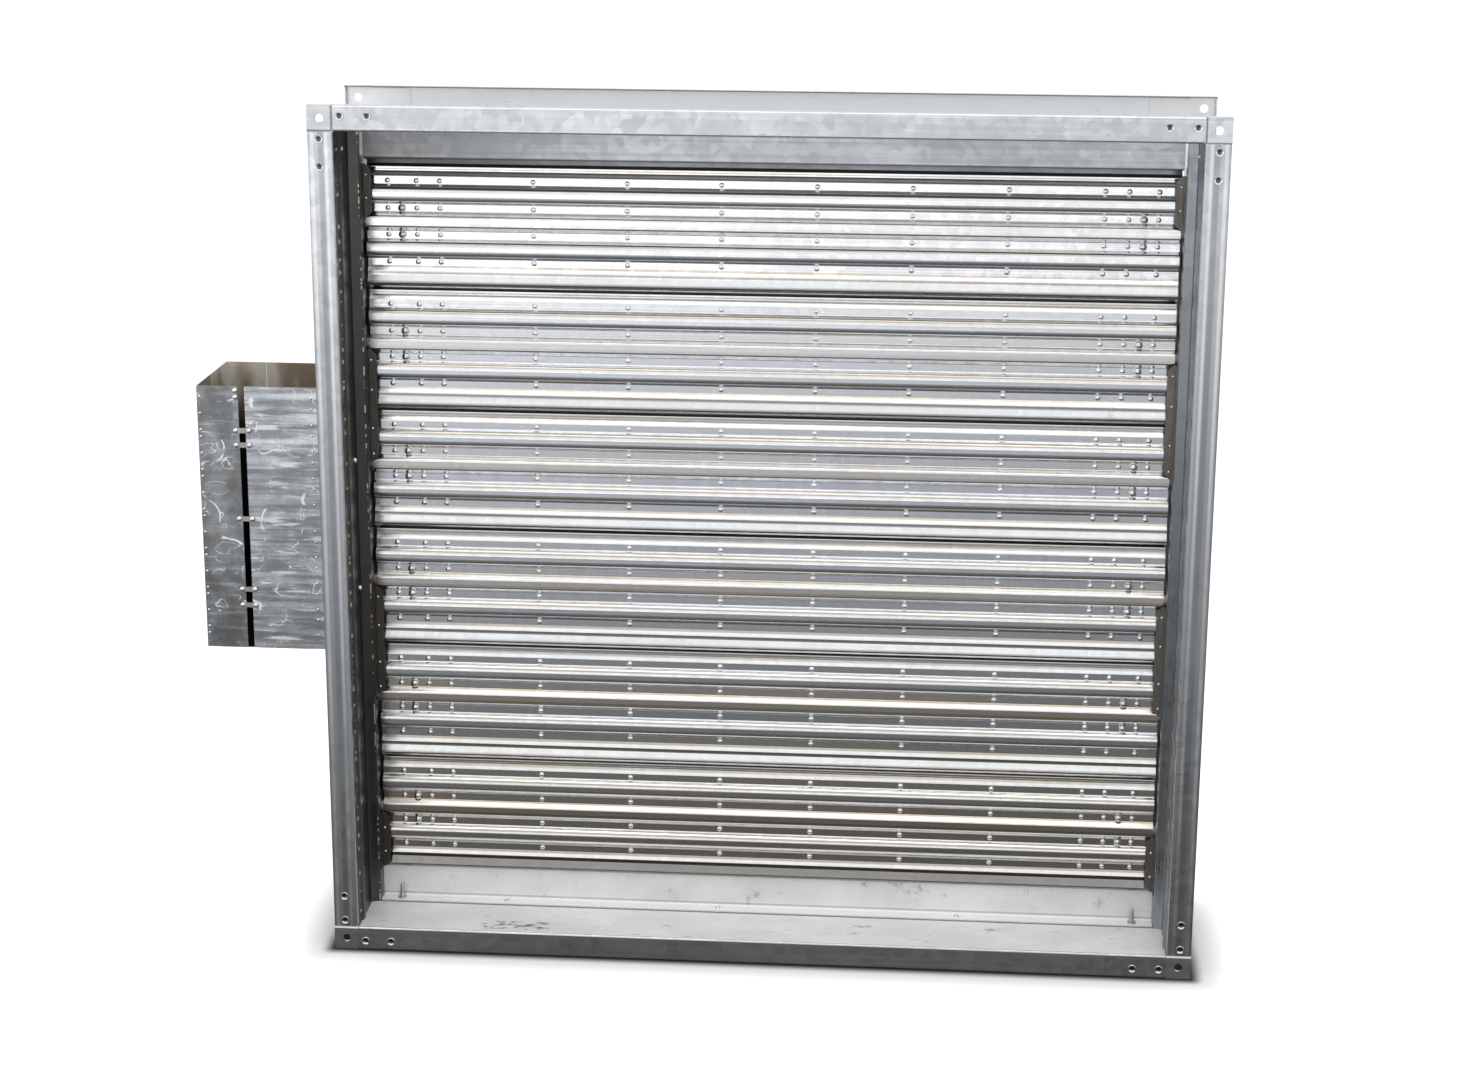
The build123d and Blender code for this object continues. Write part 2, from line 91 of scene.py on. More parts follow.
# %% Shader helpers
class Wire:
    """A socket that can stand in a sum."""

    def __init__(self, web, socket):
        self.web = web
        self.socket = socket

    def maths(self, operation, first, second):
        return self.web.node("ShaderNodeMath", {"operation": operation}, {0: first, 1: second})

    def __add__(self, other):
        return self.maths("ADD", self, other)

    def __radd__(self, other):
        return self.maths("ADD", other, self)

    def __sub__(self, other):
        return self.maths("SUBTRACT", self, other)

    def __rsub__(self, other):
        return self.maths("SUBTRACT", other, self)

    def __mul__(self, other):
        return self.maths("MULTIPLY", self, other)

    def __rmul__(self, other):
        return self.maths("MULTIPLY", other, self)

    def __mod__(self, other):
        return self.maths("FLOORED_MODULO", self, other)

    def __abs__(self):
        return self.maths("ABSOLUTE", self, 0.0)

    def larger(self, other):
        return self.maths("MAXIMUM", self, other)


class Web:
    """A node tree, with short ways to add what a finish needs."""

    def __init__(self, tree):
        self.tree = tree

    def node(self, kind, settings, sockets, result=0):
        """Add a node: settings first, then its sockets, as numbers, colours or wires."""
        made = self.tree.nodes.new(kind)
        for key, value in settings.items():
            setattr(made, key, value)
        for key, value in sockets.items():
            self.put(made, key, value)
        return Wire(self, made.outputs[result])

    def put(self, owner, key, value):
        """Fill one socket of a node."""
        if isinstance(value, Wire):
            self.tree.links.new(value.socket, owner.inputs[key])
        else:
            owner.inputs[key].default_value = value

    def place(self):
        """Where a point of the surface is on the damper, in metres."""
        return self.node("ShaderNodeTexCoord", {}, {}, "Object")

    def along(self, axis):
        """One of the three numbers of that place."""
        return self.node("ShaderNodeSeparateXYZ", {}, {0: self.place()}, axis)

    def facing(self, axis):
        """How far the surface looks along X, Y or Z, from -1 to 1."""
        outward = self.node("ShaderNodeTexCoord", {}, {}, "Normal")
        return self.node("ShaderNodeSeparateXYZ", {}, {0: outward}, axis)

    def to_front(self):
        """1 on the faces that look to the front, 0 on all others."""
        return 1 - self.fade(self.facing(Y), -0.7, -0.4)

    def noise(self, stretch, detail, rough):
        """Cloudy noise, with so many clouds to the metre along each axis."""
        spot = self.node("ShaderNodeMapping", {}, {"Vector": self.place(), "Scale": stretch})
        sockets = {"Vector": spot, "Scale": 1.0, "Detail": detail, "Roughness": rough}
        return self.node("ShaderNodeTexNoise", {}, sockets)

    def cells(self, stretch):
        """A patchwork of crystals, each with its own number from 0 to 1."""
        spot = self.node("ShaderNodeMapping", {}, {"Vector": self.place(), "Scale": stretch})
        tint = self.node("ShaderNodeTexVoronoi", {}, {"Vector": spot, "Scale": 1.0}, "Color")
        return self.node("ShaderNodeSeparateColor", {}, {0: tint}, 0)

    def fade(self, wire, low, high):
        """0 below low, 1 above high, smooth between."""
        ends = {"Value": wire, "From Min": low, "From Max": high}
        return self.node("ShaderNodeMapRange", {"interpolation_type": "SMOOTHSTEP"}, ends)

    def band(self, wire, low, high, soft):
        """1 between low and high, 0 outside, with soft ends."""
        return self.fade(wire, low - soft, low) * (1 - self.fade(wire, high, high + soft))

    def mix(self, share, first, second):
        """A colour between two colours."""
        return self.node("ShaderNodeMix", {"data_type": "RGBA"}, {0: share, 6: first, 7: second}, 2)

    def times(self, first, second):
        """One colour multiplied by another."""
        settings = {"data_type": "RGBA", "blend_type": "MULTIPLY"}
        return self.node("ShaderNodeMix", settings, {0: 1.0, 6: first, 7: second}, 2)


def grey(value, warm=0.0):
    """A grey as a colour, warmer or cooler by a share."""
    return (value * (1 + warm), value, value * (1 - warm), 1.0)


def new_finish(name, **constants):
    """A material, its web and its shader, with what is the same all over it set on the shader."""
    material = bpy.data.materials.new(name)
    material.use_nodes = True
    web = Web(material.node_tree)
    shader = material.node_tree.nodes["Principled BSDF"]
    for key, value in constants.items():
        shader.inputs[key.replace("_", " ")].default_value = value
    return material, web, shader


def dress(material, *names):
    """Give a finish to solids, in the first slot of each."""
    for name in names:
        slots = nodes[name].data.materials
        slots.clear()
        slots.append(material)


print("shader helpers ready")

# %% [markdown]
# ## Zinc-coated sheet
# All the folded sheets are zinc-coated steel. Close to, such sheet shows crystals, fine lines in the direction in
# which it was rolled, dull patches, and dirt that settles in spots. Each of these is one noise: crystals from a
# patchwork, lines from noise that is stretched along the sheet, patches and dirt from slow noise. They change the
# colour and the roughness together, because a dull patch is both darker and rougher.


# %% The zinc finish
def zinc_sheet(name, light, dark, rolled, gloss, dirt, patches, warm=0.0):
    """Zinc-coated sheet whose rolling lines run along the given axis."""
    material, web, shader = new_finish(name, Metallic=1.0)
    across = [420.0, 420.0, 420.0]
    across[rolled] = 2.2
    broad = [60.0, 60.0, 60.0]
    broad[rolled] = 1.1
    lines = web.noise(across, 4.0, 0.6)
    bands = web.noise(broad, 3.0, 0.5)
    crystals = web.cells((95.0, 95.0, 95.0))
    clouds = web.noise((7.0, 7.0, 7.0), 4.0, 0.55)
    shade = lines * 0.35 + bands * 0.25 + crystals * 0.12 + clouds * patches
    level = web.fade(shade, 0.28 + patches * 0.32, 0.52 + patches * 0.62)
    colour = web.mix(level, grey(dark, warm), grey(light, warm))
    spots = web.fade(web.noise((55.0, 55.0, 55.0), 5.0, 0.65), 0.62, 0.74)
    smears = web.fade(web.noise((4.0, 4.0, 4.0), 6.0, 0.62), 0.56, 0.70)
    soil = spots * smears * dirt
    earth = (0.11, 0.085, 0.06, 1.0)
    colour = web.mix(soil, colour, earth)
    web.put(shader, "Base Color", colour)
    smooth, rough = gloss
    web.put(shader, "Roughness", rough - level * (rough - smooth) + soil * 0.3)
    relief = {"Strength": 0.1, "Distance": 0.0005, "Height": lines * 0.6 + crystals * 0.4}
    web.put(shader, "Normal", web.node("ShaderNodeBump", {}, relief))
    return material, web, shader, colour


print("zinc finish ready")

# %% [markdown]
# ## Corners and top wall
# The front of the rear flange is painted lighter, as bounced light, so there the sheet is mixed with white and made
# less metallic, and its upper edge is a thin dark line. The front corner squares get a dark seam where they meet the
# flanges, and the lower ones a painted highlight along their inner edge. Each mask is a band of places, times the
# faces that look to the front.


# %% Corners and top wall
def painted_rear_flange_masks(web):
    """Two masks: the front of the rear flange, painted lighter as bounced light, and the line along its upper edge.
    """
    on_rear_flange = web.fade(web.along(Y), 0.200, 0.206) * web.fade(web.along(Z), 0.40, 0.45)
    painted_bounce_light = on_rear_flange * web.to_front() * 0.9
    return painted_bounce_light, painted_bounce_light * web.fade(web.along(Z), 0.5230, 0.5236) * 0.9


edge_brown = (0.10, 0.08, 0.06, 1.0)
bounce_light_share = 0.35
corner_finish, web, shader, colour = zinc_sheet(
    "zinc_corner_pressing", light=0.78, dark=0.58, rolled=X,
    gloss=(0.26, 0.42), dirt=0.3, patches=0.3, warm=-0.03)
# Painted bounced light on the front of the rear flange, and the dark line along its upper edge.
painted_bounce_light, rim = painted_rear_flange_masks(web)
# A painted highlight along the inner edge of the lower corner squares.
painted_edge_highlight = web.band(web.along(Z), -0.4972, -0.4948, 0.0004) * 0.9
colour = web.mix(rim, web.mix(painted_edge_highlight + painted_bounce_light, colour, grey(0.95)), edge_brown)
beside = 1 - web.fade(abs(web.along(X)), 0.5012, 0.5024)
beneath = 1 - web.fade(web.along(Z), 0.4962, 0.4974)
on_front = 1 - web.fade(web.along(Y), 0.0005, 0.0010)
above_edge_highlight = web.fade(web.along(Z), -0.494, -0.493)
seam = beside.larger(beneath) * web.to_front() * on_front * above_edge_highlight * 0.75
web.put(shader, "Base Color", web.mix(seam, colour, grey(0.1)))
web.put(shader, "Metallic", 1 - (painted_edge_highlight + painted_bounce_light * bounce_light_share))
dress(corner_finish, *[name for name in nodes if name.startswith("corner_")])

top_finish, web, shader, colour = zinc_sheet(
    "zinc_top_wall", light=0.72, dark=0.56, rolled=X,
    gloss=(0.24, 0.40), dirt=0.3, patches=0.3, warm=-0.03)
# Painted bounced light on the front of the rear flange, and the dark line along its upper edge.
painted_bounce_light, rim = painted_rear_flange_masks(web)
colour = web.mix(rim, web.mix(painted_bounce_light, colour, grey(1.0, -0.01)), edge_brown)
web.put(shader, "Base Color", colour)
web.put(shader, "Metallic", 1 - painted_bounce_light * bounce_light_share)
dress(top_finish, "frame_top")
print("corners and top wall dressed")

# %% [markdown]
# ## Walls that differ inside
# The flanges of the four walls are alike, but their inner faces are not: the left one is painted nearly black and the
# right one slate grey, as painted shade, and the bottom one is pale and dull where dust has settled. The finish knows
# the place of each point and the way it looks, so a mask that is 1 only on the inner face of a wall can mix in a
# second tone there. Less metal in that mask makes the dusty face dull.


# %% Inner faces
def two_faced(name, light, dark, rolled, axis, inner, inward, tone, metal, smudge):
    """Zinc sheet with another tone within inner on an axis, on the faces that look inward (1 or -1)."""
    material, web, shader, colour = zinc_sheet(
        name, light, dark, rolled, gloss=(0.24, 0.42), dirt=0.4, patches=0.3, warm=-0.035)
    within = 1 - web.fade(abs(web.along(axis)), inner, inner + 0.0004)
    between_flanges = web.band(web.along(Y), 0.003, DEPTH - 0.003, 0.001)
    inside = within * between_flanges * web.fade(web.facing(axis) * inward, -0.2, 0.0)
    clouds = web.fade(web.noise((9.0, 14.0, 9.0), 5.0, 0.6), 0.35, 0.7)
    marks = web.fade(web.noise((22.0, 60.0, 22.0), 5.0, 0.7), 0.60, 0.72) * smudge
    shaded_tone = tuple(channel * 0.85 for channel in tone) + (1.0,)
    mark_brown = (0.12, 0.09, 0.06, 1.0)
    face = web.mix(marks, web.mix(clouds, shaded_tone, tone + (1.0,)), mark_brown)
    colour = web.mix(inside, colour, face)
    web.put(shader, "Base Color", colour)
    web.put(shader, "Metallic", 1 - inside * (1 - metal))
    return material, web, shader, colour


print("inner faces ready")

# %% [markdown]
# ## Side walls
# The flanges of the side walls carry painted reflections: dark and bright stripes run down them, broken here and
# there, and painted shade makes them darkest at half height. On the two bends inside, painted glints run in dashes,
# more on the left.

# %% Side walls
# The inner tones of the side walls are painted shade: nearly black on the left, slate grey on the right.
side_walls = (("left", 1, 0.76, (0.085, 0.085, 0.085)), ("right", -1, 0.66, (0.31, 0.33, 0.35)))
for side, inward, light, tone in side_walls:
    wall_finish, web, shader, colour = two_faced(
        f"zinc_{side}_wall", light, dark=0.56, rolled=Z,
        axis=X, inner=0.5008, inward=inward, tone=tone, metal=1.0, smudge=0.2)
    across = abs(web.along(X))
    depth = web.along(Y)
    broken = web.fade(web.noise((4.0, 4.0, 2.5), 4.0, 0.6), 0.30, 0.62) * 0.6 + 0.4
    # Painted reflections: dark and bright stripes down the flanges, and painted shade at half height.
    dark_reflection_stripes = web.band(across, 0.5125, 0.5160, 0.003) + web.band(across, 0.5288, 0.5330, 0.002)
    bright = web.band(across, 0.5072, 0.5088, 0.002) + web.band(across, 0.5235, 0.5255, 0.002)
    waist_shade = web.band(web.along(Z), -0.15, 0.05, 0.35) * web.fade(across, 0.502, 0.505)
    colour = web.mix(waist_shade * 0.35, colour, grey(0.25, -0.06))
    colour = web.mix(dark_reflection_stripes * broken * 0.65, colour, grey(0.28, -0.06))
    colour = web.mix(bright * broken * 0.65, colour, grey(1.0))
    # Painted glints: dotted highlights along the two bends inside, stronger on the left.
    bends = web.band(depth, 0.0150, 0.0185, 0.0008) + web.band(depth, 0.0842, 0.0848, 0.0003)
    dashes = web.fade(web.noise((8.0, 8.0, 130.0), 2.0, 0.5), 0.55, 0.62)
    glints = bends * dashes * (1 - web.fade(across, 0.5005, 0.5015))
    straw = (0.80, 0.68, 0.52, 1.0)
    web.put(shader, "Base Color", web.mix(glints * (0.45 + inward * 0.35), colour, straw))
    dress(wall_finish, f"frame_{side}")
print("side walls dressed")

# %% [markdown]
# ## Bottom wall and stops
# The dusty bottom wall has one dark smear near the left and a painted shadow line where the foot of the lower stop
# begins. The lower stop has a painted highlight on its foot and a crease of painted shade where its plate leaves the
# foot, and painted shade makes the upper stop darker to the left.

# %% Bottom wall and stops
pale = (0.97, 0.97, 0.96)
floor_sheet, web, shader, colour = two_faced(
    "zinc_bottom_wall", light=0.74, dark=0.56, rolled=X,
    axis=Z, inner=0.4958, inward=1, tone=pale, metal=0.1, smudge=0.7)
smear = web.band(web.along(X), -0.34, -0.27, 0.012) * web.band(web.along(Y), 0.014, 0.030, 0.008)
smear = smear * web.fade(web.noise((75.0, 150.0, 30.0), 4.0, 0.6), 0.50, 0.58) * 0.85
# A painted shadow line where the foot of the lower stop begins. The dark colour serves this shadow and the smear.
shadow = web.band(web.along(Y), 0.0845, 0.0885, 0.001) * web.fade(web.along(Z), -0.4956, -0.4952)
soot_and_shadow = (0.07, 0.065, 0.06, 1.0)
web.put(shader, "Base Color", web.mix(smear + shadow * 0.85, colour, soot_and_shadow))
dress(floor_sheet, "frame_bottom")

cool = (0.90, 0.905, 0.92)
sill_finish, web, shader, colour = two_faced(
    "dusty_sill", light=0.8, dark=0.6, rolled=X,
    axis=Z, inner=0.6, inward=1, tone=cool, metal=0.1, smudge=0.5)
# A painted highlight on the foot of the lower stop, and painted shade in the crease where the plate leaves it.
foot_highlight = 1 - web.fade(web.along(Z), -0.4928, -0.4918)
crease_shade = web.band(web.along(Z), -0.4912, -0.4896, 0.0006) * 0.4
crease_shade_brown = (0.16, 0.14, 0.12, 1.0)
web.put(shader, "Base Color", web.mix(crease_shade, web.mix(foot_highlight, colour, grey(1.0)), crease_shade_brown))
dress(sill_finish, "stop_bottom")

stop_finish, web, shader, colour = zinc_sheet(
    "zinc_top_stop", light=0.62, dark=0.48, rolled=X,
    gloss=(0.28, 0.42), dirt=0.5, patches=0.35, warm=-0.04)
# Painted shade: the upper stop is darker to the left.
shade = (1 - web.fade(web.along(X), -0.5, -0.15)) * 0.8
web.put(shader, "Base Color", web.mix(shade, colour, grey(0.2)))
dress(stop_finish, "stop_top")
print("bottom wall and stops dressed")

# %% [markdown]
# ## Blade sheet
# The blades are the brightest sheet. Painted reflections and painted shade are laid over the zinc: a painted
# reflection tint that goes from cool at the top to warm at the bottom, a warmer one on the ridge of the lower blades,
# thin tan lines of painted reflection along the ridge and the bends, a line of painted shade in the fold behind each
# lip, and painted shade on the curl at the lip's end and on the lowest lip. A remainder of the height gives the place
# on any one blade, so one formula serves all six. The rear skin is the front skin turned half round, so the same
# lines are found by turning the two numbers that say where a point is on the blade.


# %% Blade finish
def blade_sheet(name, turn):
    """Bright zinc for the front skins (turn 1) or the rear skins (turn -1)."""
    material, web, shader, colour = zinc_sheet(
        name, light=0.96, dark=0.80, rolled=X, gloss=(0.10, 0.20), dirt=0.35, patches=0.25)
    height = web.along(Z)
    drop = PITCH / 2 - (height + 3 * PITCH) % PITCH
    below = drop * turn
    forward = (MIDDLE - web.along(Y)) * turn

    # Painted reflection tint: cool at the top, warm at the bottom, and cream on the ridge of the lower blades.
    cool, warm = (0.97, 0.98, 1.0, 1.0), (0.99, 0.98, 0.955, 1.0)
    tint = web.mix(web.fade(height, -0.42, -0.2), warm, cool)
    lower = 1 - web.fade(height, -0.3, 0.35) * 0.7
    ridge_reflection = web.band(drop, -0.0115, 0.0040, 0.0015) * lower * 0.5
    cream = (1.0, 0.88, 0.74, 1.0)
    tint = web.mix(ridge_reflection, tint, cream)
    # Thin tan lines of painted reflection along the ridge and the bends.
    rim_reflection_lines = web.band(drop, 0.0022, 0.0044, 0.0010) + web.band(drop, -0.0124, -0.0108, 0.0008)
    light_tan = (0.72, 0.55, 0.38, 1.0)
    tint = web.mix(rim_reflection_lines * lower * 0.8, tint, light_tan)
    bends = web.band(below, -0.0605, -0.0580, 0.0010) * 0.7
    for start in (-0.0410, 0.0250, 0.0540, 0.0610):
        bends = bends + web.band(below, start, start + 0.0018, 0.0008)
    dark_tan = (0.52, 0.42, 0.33, 1.0)
    colour = web.times(colour, web.mix(bends * 0.8, tint, dark_tan))

    # Painted shade: a dark line in the fold behind each lip, on the curl at its end, and on the lowest lip.
    inner = 1 - web.fade(forward - (below - 0.067) * 0.5, 0.0053, 0.0057)
    fold = web.band(below, 0.0656, 0.0684, 0.0006) * inner
    curl = web.fade(below, 0.0700, 0.0745)
    lowest_lip = 1 - web.fade(height, -0.4375, -0.4355)
    shaded = (fold.larger(curl) * 0.9).larger(lowest_lip * 0.7)
    fold_shade_brown = (0.06, 0.05, 0.04, 1.0)
    web.put(shader, "Base Color", web.mix(shaded, colour, fold_shade_brown))
    return material


for skin, turn in (("front", 1), ("rear", -1)):
    finish = blade_sheet(f"bright_zinc_{skin}_skin", turn)
    dress(finish, *[f"blade_{number}_{skin}_skin" for number in BLADES])
print("blades dressed")

# %% [markdown]
# ## The actuator box
# The box is folded from thinner sheet that has been handled more: level streaks on the part by the wall, a mottled
# cover with brown stains, and bright curved scratches on both. A scratch is a line along which a slow noise has one
# value, as on a map: the closer to that value, the brighter. Inside, beige and umber blotches are painted
# reflections, and painted shadow makes it dark further down.


# %% Box finish
def box_sheet(name, light, dark, streak, stain):
    """Handled zinc sheet with streaks, stains and scratches, and painted reflections and shadow inside."""
    material, web, shader, colour = zinc_sheet(
        name, light, dark, rolled=X, gloss=(0.22, 0.40), dirt=0.4, patches=0.5, warm=-0.045)
    streaks = web.fade(web.noise((7.0, 30.0, 95.0), 5.0, 0.68), 0.42, 0.58)
    clouds = web.fade(web.noise((28.0, 28.0, 22.0), 5.0, 0.65), 0.38, 0.64)
    worn = streaks * streak + clouds * (1 - streak)
    colour = web.mix(worn, grey(dark * 0.6, -0.03), colour)
    dabs = web.fade(web.noise((16.0, 30.0, 120.0), 4.0, 0.6), 0.56, 0.66) * streak
    colour = web.mix(dabs, colour, grey(0.98))
    brown = web.fade(web.noise((19.0, 19.0, 13.0), 3.0, 0.6), 0.52, 0.66) * stain
    stain_brown = (0.24, 0.21, 0.165, 1.0)
    colour = web.mix(brown, colour, stain_brown)

    curve = abs(web.noise((17.0, 17.0, 14.0), 1.5, 0.4) - 0.5)
    patch = web.fade(web.noise((40.0, 40.0, 40.0), 2.0, 0.5), 0.50, 0.60)
    ripple = abs(web.noise((30.0, 30.0, 46.0), 2.0, 0.5) - 0.52)
    fine = (1 - web.fade(ripple, 0.003, 0.010)) * web.fade(clouds, 0.35, 0.75) * 0.8
    scratch = ((1 - web.fade(curve, 0.004, 0.012)) * patch).larger(fine)
    scratch = scratch * (1 - web.fade(abs(web.facing(X)), 0.5, 0.8) * 0.8)
    colour = web.mix(scratch, colour, grey(0.98))

    # Inside: painted reflections in beige and umber blotches, and painted shadow further down.
    inside = web.band(web.along(Y), 0.0378, 0.1812, 0.0003) * web.fade(web.along(X), -0.6846, -0.6842)
    blotch = web.fade(web.noise((20.0, 20.0, 7.0), 2.0, 0.5), 0.42, 0.58)
    umber, beige, shadow = (0.34, 0.27, 0.19, 1.0), (0.80, 0.76, 0.68, 1.0), (0.02, 0.018, 0.015, 1.0)
    gleam = web.mix(web.fade(web.along(Z), 0.09, 0.16), shadow, web.mix(blotch, umber, beige))
    web.put(shader, "Base Color", web.mix(inside, colour, gleam))
    bare = dabs.larger(scratch)
    web.put(shader, "Metallic", 1 - (bare * (1 - inside) * 0.7 + inside * 0.65))
    return material


dress(box_sheet("handled_zinc_base", light=1.0, dark=0.54, streak=0.75, stain=0.15), "box_base")
dress(box_sheet("handled_zinc_cover", light=0.56, dark=0.36, streak=0.2, stain=0.5), "box_cover")
print("box dressed")

# %% [markdown]
# ## Seals, shafts, linkage and actuator
# The strips at the blade ends are dull brown metal, painted darker on the left as shade. The shafts and the linkage
# are plain and plated steel, the bushes dull steel, and the actuator is moulded plastic with a fine grain.


# %% Small finishes
def turned_metal(name, light, dark, warm, gloss):
    """Bright metal with fine lathe lines across X and a slow change of tone."""
    material, web, shader = new_finish(name, Metallic=1.0)
    lines = web.noise((900.0, 40.0, 40.0), 3.0, 0.6)
    clouds = web.noise((30.0, 30.0, 30.0), 3.0, 0.5)
    level = web.fade(lines * 0.5 + clouds * 0.5, 0.3, 0.7)
    web.put(shader, "Base Color", web.mix(level, grey(dark, warm), grey(light, warm)))
    web.put(shader, "Roughness", gloss + (1 - level) * 0.18)
    return material


def moulded(name, colour, gloss):
    """Moulded plastic with a fine grain."""
    material, web, shader = new_finish(name)
    grain = web.noise((1400.0, 1400.0, 1400.0), 2.0, 0.5)
    clouds = web.noise((12.0, 12.0, 12.0), 3.0, 0.5)
    darker = tuple(channel * 0.75 for channel in colour[:3]) + (1.0,)
    web.put(shader, "Base Color", web.mix(web.fade(clouds, 0.3, 0.7), darker, colour))
    web.put(shader, "Roughness", gloss + grain * 0.15)
    relief = {"Strength": 0.15, "Distance": 0.0003, "Height": grain}
    web.put(shader, "Normal", web.node("ShaderNodeBump", {}, relief))
    return material


steel_finish = turned_metal("bright_shaft_steel", 0.68, 0.5, 0.0, 0.24)
plated_finish = turned_metal("zinc_plated_linkage", 0.58, 0.40, 0.02, 0.26)
rivet_finish = turned_metal("bright_rivet", 0.92, 0.8, 0.0, 0.1)
bolt_finish = turned_metal("bright_bolt_steel", 0.78, 0.60, 0.0, 0.1)
bush_finish = turned_metal("dull_bush_steel", 0.30, 0.20, 0.04, 0.35)
# The left strips are a darker copy of the right ones, as painted shade.
shaded_left_strip = turned_metal("brown_strip_left", 0.13, 0.08, 0.1, 0.4)
right_strip = turned_metal("brown_strip_right", 0.26, 0.17, 0.1, 0.4)
for number in BLADES:
    dress(steel_finish, f"blade_{number}_shafts")
    dress(plated_finish, f"crank_arm_{number}")
dress(plated_finish, "tie_bar_odd", "tie_bar_even", "coupling_plate")
dress(plated_finish, "torque_strap", "actuator_clamp", "clamp_bolt", "box_straps")
dress(bush_finish, "bushes_left", "bushes_right")
dress(shaded_left_strip, "jamb_seals_left_front", "jamb_seals_left_rear")
dress(right_strip, "jamb_seals_right_front", "jamb_seals_right_rear")
dress(moulded("actuator_body_plastic", (0.10, 0.105, 0.115, 1.0), 0.45), "actuator_housing")
dress(moulded("actuator_cover_plastic", (0.42, 0.44, 0.46, 1.0), 0.42), "actuator_lid")
dress(moulded("black_gland_plastic", (0.03, 0.03, 0.032, 1.0), 0.4), "cable_gland")
dress(moulded("button_plastic", (0.05, 0.055, 0.06, 1.0), 0.35), "release_button")
print("small finishes done")

# %% [markdown]
# ## A head, modelled once
# Rivets, bolts, clinch joints and screw tips are all turned shapes: a round or six-sided start, pulled up step by
# step and drawn in at each step. So one function models such a head from a short list of steps, with extrude and
# scale in edit mode, as it would be done by hand. Each kind of head is modelled once and then copied.


# %% Model a head
def model_head(name, sides, radius, steps):
    """A head on the plane Z = 0, about the Z axis: each step is (rise, radius) in millimetres."""
    bpy.ops.object.select_all(action="DESELECT")
    bpy.ops.mesh.primitive_circle_add(vertices=sides, radius=radius * MM, fill_type="NGON")
    head = bpy.context.object
    head.name = name
    bpy.ops.object.mode_set(mode="EDIT")
    bpy.ops.mesh.select_all(action="SELECT")
    height, width = 0.0, radius
    for rise, next_radius in steps:
        move = {"value": (0, 0, (rise - height) * MM)}
        bpy.ops.mesh.extrude_region_move(TRANSFORM_OT_translate=move)
        share = next_radius / width
        bpy.ops.transform.resize(value=(share, share, 1))
        height, width = rise, next_radius
    bpy.ops.mesh.select_all(action="SELECT")
    bpy.ops.mesh.normals_make_consistent(inside=False)
    bpy.ops.object.mode_set(mode="OBJECT")
    bpy.ops.object.shade_smooth_by_angle(angle=math.radians(50))
    return head


def plant(head, name, places, body, finish):
    """Copies of a head, one for each (point, direction) in metres, joined as one piece on a body."""
    bpy.ops.object.select_all(action="DESELECT")
    for point, facing in places:
        copy = head.copy()
        copy.data = head.data.copy()
        bpy.context.scene.collection.objects.link(copy)
        turn = Vector(facing).to_track_quat("Z", "Y").to_matrix().to_4x4()
        copy.data.transform(Matrix.Translation(point) @ turn)
        copy.select_set(True)
        bpy.context.view_layer.objects.active = copy
    if len(places) > 1:
        bpy.ops.object.join()
    piece = bpy.context.view_layer.objects.active
    piece.name = name
    piece.data.materials.clear()
    piece.data.materials.append(finish)
    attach(piece, body)


rivet = model_head("rivet_head", 12, 3.4, [(0.7, 3.3), (1.5, 2.8), (2.1, 1.9), (2.4, 0.6)])
bolt = model_head("dome_bolt_head", 12, 5.0, [(1.6, 4.9), (3.0, 4.1), (4.2, 2.7), (4.8, 0.9)])
clinch = model_head("clinch_joint", 16, 5.0, [(1.1, 4.9), (1.4, 4.6), (0.1, 1.4), (0.05, 0.4)])
tip = model_head("screw_tip", 10, 5.5, [(1.2, 5.5), (1.6, 3.4), (9.0, 2.2), (17.0, 2.2), (19.0, 0.8)])
dot = model_head("spot_mark", 8, 1.7, [(0.5, 1.5), (0.9, 0.7)])
cap = model_head("pin_cap", 16, 6.5, [(0.8, 6.5), (1.2, 5.3), (3.8, 5.1), (4.6, 4.0), (4.8, 0.8)])
nut = model_head("clamp_nut", 6, 4.7, [(0.5, 4.9), (3.5, 4.9), (4.0, 4.5), (4.2, 3.0)])
lid_screw = model_head("lid_screw", 16, 3.4, [(1.2, 3.3), (1.8, 2.6), (1.8, 1.6), (0.7, 1.4), (0.6, 0.3)])
heads = (rivet, bolt, clinch, tip, dot, cap, nut, lid_screw)
TO_LEFT, TO_RIGHT = (-1, 0, 0), (1, 0, 0)
TO_FRONT, TO_REAR = (0, -1, 0), (0, 1, 0)
DOWN, UP = (0, 0, -1), (0, 0, 1)
print("heads modelled:", [head.name for head in heads])

# %% [markdown]
# ## Rivets of the blades
# Each blade is two skins, riveted back to back in four rows, with closer columns near the ends where the stub shafts
# are held by bolts. The rivets of a blade are one piece that turns with the blade.

# %% Blade rivets
blade_axes = [0.375 - PITCH * row for row in range(6)]
skin_front, skin_rear = 0.109, 0.111
rivet_columns = [side * x * MM for x in (57, 170, 283, 396, 424, 459) for side in (-1, 1)]
rivet_rows = [16 * MM, -16 * MM, 49 * MM, -49 * MM]
bolt_columns = [-442 * MM, 442 * MM]
for number, axis in zip(BLADES, blade_axes):
    body = f"blade_{number}"
    places = [((x, skin_front, axis + row), TO_FRONT) for x in rivet_columns for row in rivet_rows]
    places += [((x, skin_rear, axis + row), TO_REAR) for x in rivet_columns for row in rivet_rows]
    plant(rivet, f"{body}_rivets", places, body, rivet_finish)
    places = [((x, skin_front, axis + row), TO_FRONT) for x in bolt_columns for row in rivet_rows[:2]]
    plant(bolt, f"{body}_shaft_bolts", places, body, bolt_finish)
print("rivets to a blade:", len(rivet_columns) * len(rivet_rows) * 2)

